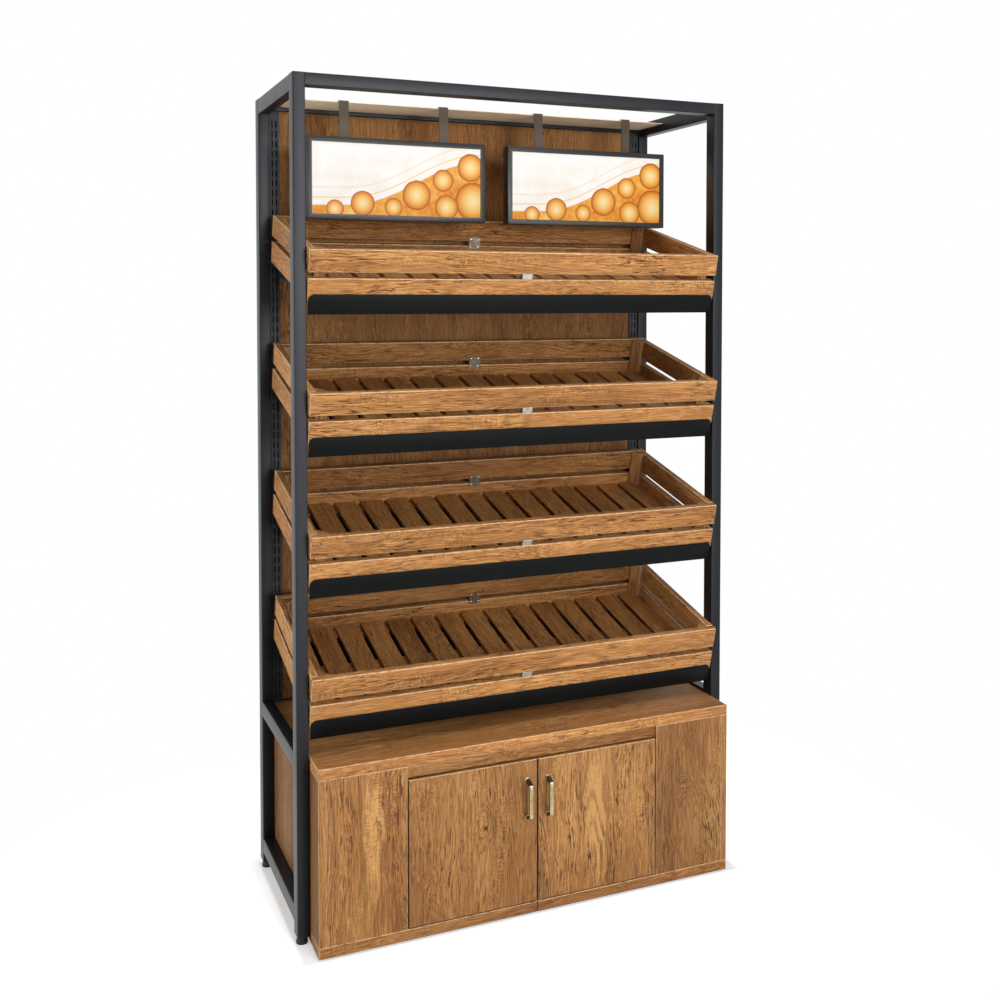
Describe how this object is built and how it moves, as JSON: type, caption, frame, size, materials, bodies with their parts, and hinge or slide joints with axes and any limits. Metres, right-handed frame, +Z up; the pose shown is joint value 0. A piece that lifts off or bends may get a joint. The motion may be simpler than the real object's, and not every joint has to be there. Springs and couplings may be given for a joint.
{
  "type": "bakery bread rack",
  "caption": "Tall bakery bread rack: steel tube frame, sloping slatted wooden crates on hooked shelves, wooden back panel, lit signs at the top and a low two-door cupboard.",
  "frame": {"origin": "on the floor, under the middle of the whole object's box", "axes": "+Z up, front with the cupboard doors towards -Y, +X to the right of someone who faces the front"},
  "size_m": [1.2, 0.565, 2.105],
  "materials": {
    "frame_paint": "satin",
    "shelf_black": "satin",
    "shelf_paint": "matte",
    "strap_steel": "satin",
    "sign_frame": "satin",
    "sign_face": "satin",
    "light_strip": "matte",
    "oak_board": "satin",
    "oak_solid": "satin",
    "zinc_plate": "satin",
    "old_brass": "satin",
    "black_plastic": "matte"
  },
  "bodies": {
    "rack": {"front_left_upright": "frame_paint", "front_right_upright": "frame_paint", "rear_left_upright": "frame_paint", "rear_right_upright": "frame_paint", "left_side_rails": "frame_paint", "right_side_rails": "frame_paint", "top_front_rail": "frame_paint", "rear_cross_rails": "frame_paint", "upright_plugs": "black_plastic", "slotted_standards": "frame_paint", "back_panel": "oak_board", "sign_shelf": "shelf_paint", "sign_straps": "strap_steel", "sign_cases": "sign_frame", "sign_faces": "sign_face", "sign_back_plates": "sign_frame", "sign_light_strips": "light_strip", "sign_power_sockets": "black_plastic", "shelf_1": "shelf_black", "shelf_2": "shelf_black", "shelf_3": "shelf_black", "shelf_4": "shelf_black", "shelf_brackets": "shelf_black", "cabinet_top": "oak_board", "cabinet_base": "oak_board", "cabinet_sides": "oak_board", "cabinet_back": "oak_board", "cabinet_fixed_fronts": "oak_board", "cabinet_stiles": "oak_board", "cabinet_head_rail": "oak_board", "cabinet_glides": "black_plastic", "cabinet_packers": "black_plastic", "hinge_arms": "zinc_plate"},
    "crate_1": {"crate_1_boards": "oak_board", "crate_1_posts": "oak_solid", "crate_1_floor": "oak_solid", "crate_1_tie_plates": "zinc_plate"},
    "crate_2": {"crate_2_boards": "oak_board", "crate_2_posts": "oak_solid", "crate_2_floor": "oak_solid", "crate_2_tie_plates": "zinc_plate"},
    "crate_3": {"crate_3_boards": "oak_board", "crate_3_posts": "oak_solid", "crate_3_floor": "oak_solid", "crate_3_tie_plates": "zinc_plate"},
    "crate_4": {"crate_4_boards": "oak_board", "crate_4_posts": "oak_solid", "crate_4_floor": "oak_solid", "crate_4_tie_plates": "zinc_plate"},
    "left_door_leaf": {"left_door": "oak_board", "left_hinge_cups": "zinc_plate", "left_handle": "old_brass"},
    "right_door_leaf": {"right_door": "oak_board", "right_hinge_cups": "zinc_plate", "right_handle": "old_brass"},
    "levelling_foot_front_left": {"foot_front_left": "black_plastic"},
    "levelling_foot_front_right": {"foot_front_right": "black_plastic"},
    "levelling_foot_rear_left": {"foot_rear_left": "black_plastic"},
    "levelling_foot_rear_right": {"foot_rear_right": "black_plastic"}
  },
  "joints": [
    {"name": "crate_1_tilt", "type": "hinge", "parent": "rack", "child": "crate_1", "pos_m": [0, 0.247, 1.669], "axis": [-1, 0, 0], "range_deg": [0, 4]},
    {"name": "crate_2_tilt", "type": "hinge", "parent": "rack", "child": "crate_2", "pos_m": [0, 0.247, 1.3258], "axis": [-1, 0, 0], "range_deg": [0, 14]},
    {"name": "crate_3_tilt", "type": "hinge", "parent": "rack", "child": "crate_3", "pos_m": [0, 0.247, 0.9826], "axis": [-1, 0, 0], "range_deg": [0, 14]},
    {"name": "crate_4_tilt", "type": "hinge", "parent": "rack", "child": "crate_4", "pos_m": [0, 0.247, 0.6394], "axis": [-1, 0, 0], "range_deg": [0, 14]},
    {"name": "left_door_hinge", "type": "hinge", "parent": "rack", "child": "left_door_leaf", "pos_m": [-0.3445, -0.2545, 0.216], "axis": [0, 0, -1], "range_deg": [0, 110]},
    {"name": "right_door_hinge", "type": "hinge", "parent": "rack", "child": "right_door_leaf", "pos_m": [0.3445, -0.2545, 0.216], "axis": [0, 0, 1], "range_deg": [0, 110]},
    {"name": "foot_front_left_height", "type": "slide", "parent": "rack", "child": "levelling_foot_front_left", "axis": [0, 0, -1], "range_m": [0, 0.015]},
    {"name": "foot_front_right_height", "type": "slide", "parent": "rack", "child": "levelling_foot_front_right", "axis": [0, 0, -1], "range_m": [0, 0.015]},
    {"name": "foot_rear_left_height", "type": "slide", "parent": "rack", "child": "levelling_foot_rear_left", "axis": [0, 0, -1], "range_m": [0, 0.015]},
    {"name": "foot_rear_right_height", "type": "slide", "parent": "rack", "child": "levelling_foot_rear_right", "axis": [0, 0, -1], "range_m": [0, 0.015]}
  ]
}
